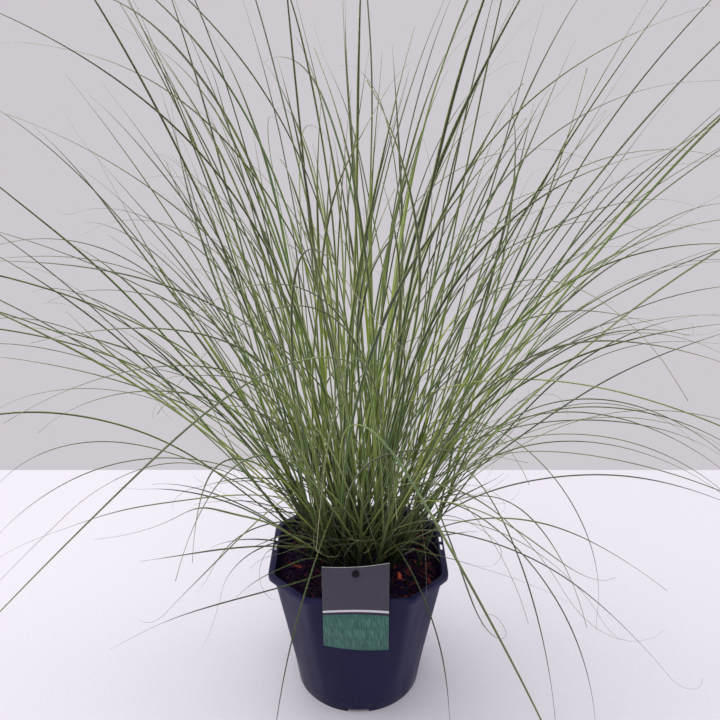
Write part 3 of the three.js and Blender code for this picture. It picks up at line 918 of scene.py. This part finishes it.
def scatter(count, seed, shape, tilt, sink):
    """Bits over the compost, closer together towards the pot's wall, and none through it."""
    bits = []
    for i in range(count):
        random = stream(seed + 13 * i)
        angle = math.tau * random()
        limit = mix(BASE_RADIUS - POT_WALL, eight_sided(MOUTH, angle), 0.93)
        rings, size = shape(random)
        radius = (limit - WALL_GAP - size / 2) * math.sqrt(mix(0.1, 1, random()))
        x, y = radius * math.cos(angle), radius * math.sin(angle)
        rings = turned(rings, random, tilt) + (x, y, compost_height(x, y) + sink)
        bits.append((rings, random()))
    return bits


def bark_chip(random):
    length = mix(6, 19, random() ** 1.4)
    width = length * mix(0.25, 0.5, random())
    thick = mix(1.4, 3.6, random())
    return splinter(random, length, width, thick), length


def fibre(random):
    length = mix(8, 24, random())
    width = mix(0.7, 1.4, random())
    thick = mix(0.6, 1.1, random())
    return splinter(random, length, width, thick), length


def crumb(random):
    length = mix(1.5, 4.5, random() ** 1.5)
    width = length * mix(0.6, 0.95, random())
    thick = length * mix(0.5, 0.8, random())
    return splinter(random, length, width, thick), length


BITS = (
    {"count": 420, "seed": 5000, "shape": bark_chip, "tilt": 24, "sink": 0.7},
    {"count": 170, "seed": 21000, "shape": fibre, "tilt": 14, "sink": 1.0},
    {"count": 700, "seed": 33000, "shape": crumb, "tilt": 40, "sink": 0.9},
)


def make_bark(material):
    tubes = Tubes()
    across = np.cos(2 * np.pi * np.arange(CHIP_SIDES) / CHIP_SIDES)
    along = np.linspace(0, 1, CHIP_ROWS)[:, None]
    for kind in BITS:
        for rings, tone in scatter(**kind):
            tubes.add(rings, across, along, tone, UNDERSIDE)
    mesh = tubes.mesh("bark_chips")
    mesh.shade_flat()
    new_piece("bark_chips", mesh, material, None)


# Card and stake

CARD_COLUMNS = 56
FRONT_FACING = -0.7
STAKE_BEND_DROP = 8


def card_depth(x, z):
    across = (x - CARD_MIDDLE) / (CARD_WIDTH / 2)
    height = z - (CARD_TOP + CARD_BOTTOM) / 2
    return CARD_FRONT + CARD_BOW * across**2 + math.tan(radians(CARD_TWIST)) * across * height


def make_card(printed, plain):
    points = []
    for i in range(CARD_COLUMNS + 1):
        x = CARD_MIDDLE + CARD_WIDTH * (i / CARD_COLUMNS - 0.5)
        for z, back in ((CARD_BOTTOM, 0), (CARD_BOTTOM, 1), (CARD_TOP, 1), (CARD_TOP, 0)):
            points.append((x, card_depth(x, z) + CARD_THICK * back, z))
    mesh = new_mesh("printed_card", points, ring_faces(CARD_COLUMNS + 1, 4))
    piece = new_piece("printed_card", mesh, printed, "card")
    hole = cylinder_along_y(CARD_HOLE_RADIUS, CARD_FRONT - 10, CARD_FRONT + 10)
    combine(piece, [hole], "DIFFERENCE")
    soften(piece, 0.12, 1)
    piece.data.materials.clear()
    piece.data.materials.append(printed)
    piece.data.materials.append(plain)
    for face in piece.data.polygons:
        face.material_index = 0 if face.normal.y < FRONT_FACING else 1


def make_stake(material):
    """A bar that leans out above the compost, and the headed stud that holds the card."""
    foot_y, foot, bend = STAKE["footY"], STAKE["foot"], STAKE["bend"]
    top = CARD_TOP - 2
    top_y = CARD_FRONT + CARD_THICK + STUD_HEAD["gap"]
    thick = STAKE["thick"]
    upper_bend = STUD_HEIGHT - STAKE_BEND_DROP
    front = [(foot_y, foot), (foot_y, bend), (top_y, upper_bend), (top_y, top)]
    back = [(top_y, top), (top_y, upper_bend - 0.5), (foot_y, bend - 0.5), (foot_y, foot)]
    profile = front + [(y + thick, z) for y, z in back]
    half = STAKE["width"] / 2
    points = [(CARD_MIDDLE + side * half, y, z) for side in (-1, 1) for y, z in profile]
    mesh = new_mesh("stake_bar", points, ring_faces(2, len(profile)))
    piece = new_piece("stake_bar", mesh, material, "card_stake")
    head_back = CARD_FRONT - STUD_HEAD["gap"]
    head_front = head_back - STUD_HEAD["thick"]
    rods = [
        cylinder_along_y(STUD_RADIUS, (head_front + head_back) / 2, top_y + thick / 2),
        cylinder_along_y(STUD_HEAD["radius"], head_front, head_back),
    ]
    combine(piece, rods, "UNION")
    soften(piece, 0.5, 3)


# Materials


def colour(red, green, blue):
    """Linear light from a screen colour of 0 to 255."""

    def linear(value):
        value /= 255
        return value / 12.92 if value <= 0.04045 else ((value + 0.055) / 1.055) ** 2.4

    return (linear(red), linear(green), linear(blue), 1)


# A leaf has one shade of each: the young one near its root, the grown one further out
YOUNG_GREENS = (
    (56, 96, 36), (150, 172, 52), (72, 130, 44), (190, 202, 84), (40, 90, 50), (126, 154, 52),
    (168, 184, 66), (35, 60, 40), (140, 166, 96),
)
GROWN_GREENS = (
    (24, 27, 30), (66, 106, 42), (28, 64, 46), (114, 136, 50), (28, 34, 36), (44, 102, 50),
    (32, 80, 42), (84, 110, 44), (122, 132, 86),
)

# Shades along a stem (dark and brown at its foot: partly old sheath, partly painted shade), by a chip's
# draw, and by the compost's noise
STEM_SHADES = (
    (0.0, (58, 52, 38)), (0.06, (70, 76, 42)), (0.2, (92, 108, 52)), (0.5, (100, 120, 54)),
    (1.0, (124, 140, 66)),
)
BARK_SHADES = (
    (0.0, (14, 4, 22)), (0.5, (29, 11, 33)), (0.8, (50, 18, 33)), (0.95, (84, 30, 30)),
    (0.99, (172, 78, 52)),
)
COMPOST_SHADES = ((0.25, (7, 0, 18)), (0.55, (18, 4, 30)), (0.8, (47, 18, 46)))

# The card's strokes, each set with its lean, closeness and seed, and its pale line
CARD_STROKES = ((0.45, 820.0, 0.0), (-0.6, 700.0, 3.0), (0.05, 980.0, 7.0))
CARD_LINE_HEIGHT = 55
CARD_LINE_ARCH = -3.2


class Finish:
    """One material and short forms for its nodes. A value is a number, a colour or a socket."""

    def __init__(self, name, roughness, specular):
        self.material = bpy.data.materials.new(name)
        self.material.use_nodes = True
        self.nodes = self.material.node_tree.nodes
        self.links = self.material.node_tree.links
        self.shader = self.nodes["Principled BSDF"]
        self.surface("Roughness", roughness)
        self.surface("Specular IOR Level", specular)

    def put(self, socket, value):
        if isinstance(value, bpy.types.NodeSocket):
            self.links.new(value, socket)
        else:
            socket.default_value = value

    def surface(self, name, value):
        self.put(self.shader.inputs[name], value)

    def fill(self, node, **values):
        for name, value in values.items():
            self.put(node.inputs[name], value)

    def node(self, kind, *values, **settings):
        """A node with its first inputs set."""
        made = self.nodes.new(kind)
        for name, value in settings.items():
            setattr(made, name, value)
        for socket, value in zip(made.inputs, values):
            self.put(socket, value)
        return made

    def attribute(self, name):
        return self.node("ShaderNodeAttribute", attribute_name=name).outputs["Fac"]

    def place(self):
        return self.node("ShaderNodeTexCoord").outputs["Object"]

    def math(self, operation, first, second=0.0):
        return self.node("ShaderNodeMath", first, second, operation=operation).outputs[0]

    def times(self, first, second):
        return self.math("MULTIPLY", first, second)

    def parts(self, vector):
        return self.node("ShaderNodeSeparateXYZ", vector).outputs

    def vector(self, x, y, z):
        return self.node("ShaderNodeCombineXYZ", x, y, z).outputs[0]

    def stretched(self, vector, *scales):
        return self.node("ShaderNodeVectorMath", vector, scales, operation="MULTIPLY").outputs[0]

    def noise(self, vector, scale, detail=3.0, roughness=0.5):
        made = self.node("ShaderNodeTexNoise")
        self.fill(made, Vector=vector, Scale=scale, Detail=detail, Roughness=roughness)
        return made.outputs["Fac"]

    def ramp(self, value, span, result=(0.0, 1.0)):
        """A smooth change from one result to the other while the value goes through the span."""
        kind = "ShaderNodeMapRange"
        return self.node(kind, value, *span, *result, interpolation_type="SMOOTHSTEP").outputs[0]

    def colours(self, value, stops, interpolation="LINEAR"):
        made = self.node("ShaderNodeValToRGB", value)
        made.color_ramp.interpolation = interpolation
        elements = made.color_ramp.elements
        while len(elements) < len(stops):
            elements.new(0.5)
        for element, (position, shade) in zip(elements, stops):
            element.position = position
            element.color = colour(*shade)
        return made.outputs[0]

    def one_of(self, value, shades):
        """One of the shades, without any between them, by a value from 0 to 1."""
        stops = [(i / len(shades), shade) for i, shade in enumerate(shades)]
        return self.colours(value, stops, "CONSTANT")

    def mixed(self, factor, first, second):
        made = self.node("ShaderNodeMix", factor, data_type="RGBA")
        self.put(made.inputs[6], first)
        self.put(made.inputs[7], second)
        return made.outputs[2]

    def tinted(self, base, shade, value, span, result=(0.0, 1.0)):
        """The base with a shade over it, as strong as the ramp of the value."""
        return self.mixed(self.ramp(value, span, result), base, shade)

    def bump(self, height, distance, strength):
        made = self.node("ShaderNodeBump")
        self.fill(made, Height=height, Distance=distance, Strength=strength)
        self.surface("Normal", made.outputs[0])


def leaf_ground(finish, along, tone):
    """A leaf's own green, paler near the clump's axis and in stretches."""
    young = finish.one_of(tone, YOUNG_GREENS)
    grown = finish.one_of(tone, GROWN_GREENS)
    green = finish.mixed(finish.ramp(along, (0.12, 0.5)), young, grown)
    x, y, _ = finish.parts(finish.place())
    from_axis = finish.math("SQRT", finish.math("ADD", finish.times(x, x), finish.times(y, y)))
    light = finish.noise(finish.vector(finish.times(tone, 90.0), along, 0.0), 5.0)
    green = finish.tinted(green, colour(158, 178, 76), from_axis, (0.03, 0.09), (0.55, 0.0))
    return finish.tinted(green, colour(126, 146, 56), light, (0.5, 0.75), (0.0, 0.4))


def weathered_and_shaded(finish, green, along, tone):
    """Dark stretches and a little rust, painted shade that greys a leaf towards its tip, and a leaf that
    dries at its very tip.
    """
    dark = finish.noise(finish.vector(finish.times(tone, 57.0), along, 4.0), 9.0)
    rust = finish.times(finish.ramp(dark, (0.6, 0.68)), finish.ramp(along, (0.5, 0.95), (0.0, 0.5)))
    green = finish.tinted(green, colour(38, 42, 32), dark, (0.45, 0.75), (0.0, 0.6))
    green = finish.mixed(rust, green, colour(110, 78, 56))
    # Painted shade: the outer part of each leaf goes dark grey, as a backlit leaf looks
    green = finish.tinted(green, colour(50, 43, 50), along, (0.35, 0.8), (0.0, 0.78))
    return finish.tinted(green, colour(96, 86, 84), along, (0.9, 1.0), (0.0, 0.8))


def ribbed(finish, green, veins, across, along):
    """Fine veins, and a pale midrib and pale edges that fade towards the tip."""
    fading = finish.ramp(along, (0.25, 0.7), (1.0, 0.2))
    midrib = finish.times(finish.ramp(across, (0.04, 0.14), (0.5, 0.0)), fading)
    edges = finish.times(finish.ramp(across, (0.74, 0.86), (0.0, 0.6)), fading)
    green = finish.tinted(green, colour(150, 164, 96), veins, (0.4, 0.6), (0.0, 0.18))
    green = finish.mixed(midrib, green, colour(180, 190, 132))
    return finish.mixed(edges, green, colour(208, 212, 176))


def leaf_finish():
    """Leaves of several greens, and stems, with painted shade: darker undersides, and darker towards the
    compost.
    """
    finish = Finish("grass_leaf", roughness=0.45, specular=0.22)
    across, along, tone, kind = (finish.attribute(name) for name in Tubes.VALUES)
    height = finish.parts(finish.place())[2]

    def lines(closeness, length, scale):
        x = finish.times(across, closeness)
        return finish.noise(finish.vector(x, finish.times(along, length), tone), scale)

    veins = lines(5.0, 0.6, 5.0)
    ridges = lines(3.0, 2.0, 4.0)
    green = weathered_and_shaded(finish, leaf_ground(finish, along, tone), along, tone)
    green = ribbed(finish, green, veins, finish.math("ABSOLUTE", across), along)
    # The stem's foot is darker: partly old sheath, partly painted shade of the crown
    stem = finish.colours(along, STEM_SHADES)
    stem = finish.tinted(stem, colour(72, 86, 44), ridges, (0.4, 0.65), (0.0, 0.35))
    shade = finish.mixed(finish.ramp(kind, (0.6, 0.7)), green, stem)
    # Painted shade: the undersides of the blades are darker, as under a leaf lit from above
    shade = finish.tinted(shade, colour(36, 48, 42), kind, (0.02, 0.2), (0.4, 0.0))
    # Painted shade of the crown: leaves and stems darken low down, near the compost
    shade = finish.tinted(shade, colour(28, 36, 25), height, (0.19, 0.42), (0.92, 0.0))
    finish.surface("Base Color", shade)
    finish.surface("Subsurface Weight", 0.35)
    finish.surface("Subsurface Radius", (0.9, 1.0, 0.35))
    finish.surface("Subsurface Scale", 0.0015)
    finish.bump(veins, distance=0.0003, strength=0.4)
    return finish.material


def pot_finish():
    """Satin navy plastic with a fine grain, faint streaks down the wall and some dust low on it."""
    finish = Finish("pot_plastic", roughness=0.4, specular=0.14)
    place = finish.place()
    broad = finish.noise(place, 9.0, detail=2.0)
    streaks = finish.noise(finish.stretched(place, 60.0, 60.0, 3.0), 1.0, detail=4.0)
    dust = finish.ramp(finish.noise(place, 150.0), (0.5, 0.75))
    low = finish.ramp(finish.parts(place)[2], (0.0, 0.05), (0.3, 0.0))
    navy = finish.tinted(colour(24, 24, 58), colour(29, 28, 64), broad, (0.35, 0.7))
    navy = finish.tinted(navy, colour(46, 46, 72), streaks, (0.55, 0.75), (0.0, 0.2))
    navy = finish.mixed(finish.times(low, dust), navy, colour(84, 80, 84))
    finish.surface("Base Color", navy)
    finish.surface("Roughness", finish.ramp(streaks, (0.3, 0.8), (0.34, 0.52)))
    finish.bump(finish.noise(place, 900.0, detail=2.0), distance=0.0001, strength=0.35)
    return finish.material


def compost_finish():
    finish = Finish("compost_dark", roughness=0.9, specular=0.06)
    place = finish.place()
    fine = finish.noise(place, 420.0, detail=6.0, roughness=0.65)
    broad = finish.noise(place, 60.0)
    shade = finish.colours(fine, COMPOST_SHADES)
    shade = finish.tinted(shade, colour(20, 8, 22), broad, (0.4, 0.7), (0.0, 0.5))
    finish.surface("Base Color", shade)
    finish.bump(fine, distance=0.0015, strength=0.8)
    return finish.material


def bark_finish():
    """Bark from near black to red-brown, and a few orange chips, with grain along each."""
    finish = Finish("bark", roughness=0.8, specular=0.14)
    across, along, tone = (finish.attribute(name) for name in ("across", "along", "tone"))
    along_chip = finish.vector(finish.times(across, 6.0), along, finish.times(tone, 80.0))
    grain = finish.noise(along_chip, 3.0)
    shade = finish.colours(tone, BARK_SHADES)
    shade = finish.tinted(shade, colour(16, 10, 14), grain, (0.4, 0.65), (0.0, 0.55))
    finish.surface("Base Color", shade)
    finish.bump(grain, distance=0.0006, strength=0.7)
    return finish.material


def card_finish():
    """A print of plain fields: graphite above, a pale curved line, and green blades below."""
    finish = Finish("card_print", roughness=0.36, specular=0.25)
    place = finish.place()
    x, _, z = finish.parts(place)
    paper = finish.noise(place, 700.0, detail=2.0)
    strokes = []
    for lean, closeness, seed in CARD_STROKES:
        slanted = finish.times(finish.math("ADD", x, finish.times(z, lean)), closeness)
        noise = finish.noise(finish.vector(slanted, finish.times(z, 60.0), seed), 1.0, detail=2.0)
        strokes.append(finish.ramp(noise, (0.5, 0.66)))
    printed = finish.mixed(strokes[0], colour(40, 84, 80), colour(68, 122, 104))
    printed = finish.mixed(strokes[1], printed, colour(52, 104, 92))
    printed = finish.mixed(finish.times(strokes[2], 0.6), printed, colour(98, 146, 122))
    middle = finish.math("ADD", x, -CARD_MIDDLE * MM)
    arch = finish.times(finish.times(middle, middle), CARD_LINE_ARCH)
    line = finish.math("ADD", arch, (CARD_BOTTOM + CARD_LINE_HEIGHT) * MM)
    level = finish.math("SUBTRACT", z, line)
    graphite = finish.tinted(colour(61, 58, 71), colour(71, 67, 80), paper, (0.3, 0.7))
    printed = finish.tinted(printed, colour(44, 42, 52), level, (-0.0012, -0.0008))
    printed = finish.tinted(printed, colour(206, 206, 212), level, (0.0026, 0.0030))
    printed = finish.tinted(printed, graphite, level, (0.0058, 0.0062))
    finish.surface("Base Color", printed)
    finish.bump(paper, distance=0.00005, strength=0.3)
    return finish.material


def plain_finish(name, shade, roughness, specular, scale, distance):
    """One shade with darker specks."""
    finish = Finish(name, roughness, specular)
    grain = finish.noise(finish.place(), scale)
    darker = tuple(0.8 * value for value in shade[:3]) + (1,)
    finish.surface("Base Color", finish.tinted(shade, darker, grain, (0.3, 0.7)))
    finish.bump(grain, distance, strength=0.4)
    return finish.material


# Stage, light and camera, in metres

FLOOR_BACK = 0.552
FLOOR_REACH = 4.0
LENS = 40
SENSOR = 36
CAMERA_PITCH = 22.3
CAMERA_AT = (0.0021, -0.892, 0.838)
LIGHTS_AIM = (0, 0, 0.3)

# Place, width and power in watts
LIGHTS = {
    "overhead": ((-0.45, 0.3, 2.6), 2.6, 58),
    "front": ((0.2, -2.3, 2.1), 1.6, 12),
    "left": ((-2.4, 0.2, 1.5), 1.2, 10),
    "right": ((2.4, 0.2, 1.4), 1.2, 14),
}


def floor_finish():
    finish = Finish("floor_paint", roughness=0.7, specular=0.2)
    grain = finish.noise(finish.place(), 300.0, detail=2.0)
    shade = finish.tinted(colour(212, 209, 216), colour(207, 204, 211), grain, (0.3, 0.7))
    finish.surface("Base Color", shade)
    return finish.material


def make_stage():
    """The floor, and the even shade of the wall behind it as the world's light."""
    left, right = -FLOOR_REACH, FLOOR_REACH
    corners = [(left, left, 0), (right, left, 0), (right, FLOOR_BACK, 0), (left, FLOOR_BACK, 0)]
    mesh = bpy.data.meshes.new("floor")
    mesh.from_pydata(corners, [], [(0, 1, 2, 3)])
    mesh.materials.append(floor_finish())
    in_scene("floor", mesh)
    world = bpy.data.worlds.new("room")
    bpy.context.scene.world = world
    world.use_nodes = True
    background = world.node_tree.nodes["Background"]
    background.inputs["Color"].default_value = colour(206, 201, 207)
    background.inputs["Strength"].default_value = 1.0


def make_light(name, at, width, power):
    light = bpy.data.lights.new(name, "AREA")
    light.size = width
    light.energy = power
    lamp = in_scene(name, light)
    lamp.location = at
    lamp.rotation_euler = (Vector(LIGHTS_AIM) - Vector(at)).to_track_quat("-Z", "Y").to_euler()


def make_camera():
    data = bpy.data.cameras.new("camera")
    data.sensor_width = SENSOR
    data.lens = LENS
    camera = in_scene("camera", data)
    camera.location = CAMERA_AT
    camera.rotation_euler = (radians(90 - CAMERA_PITCH), 0, 0)
    bpy.context.scene.camera = camera


make_camera()
make_stage()
for name, (at, width, power) in LIGHTS.items():
    make_light(name, at, width, power)
bpy.context.scene.view_settings.view_transform = "Standard"

make_pot(pot_finish())
make_compost(compost_finish())
make_bark(bark_finish())
make_card(card_finish(), plain_finish("card_back", colour(214, 214, 210), 0.6, 0.4, 500.0, 0.00003))
make_stake(plain_finish("stake_plastic", colour(10, 8, 14), 0.5, 0.15, 600.0, 0.00005))
leaf_material = leaf_finish()
for shoot in grow_clump():
    leafy_stem(shoot, leaf_material)
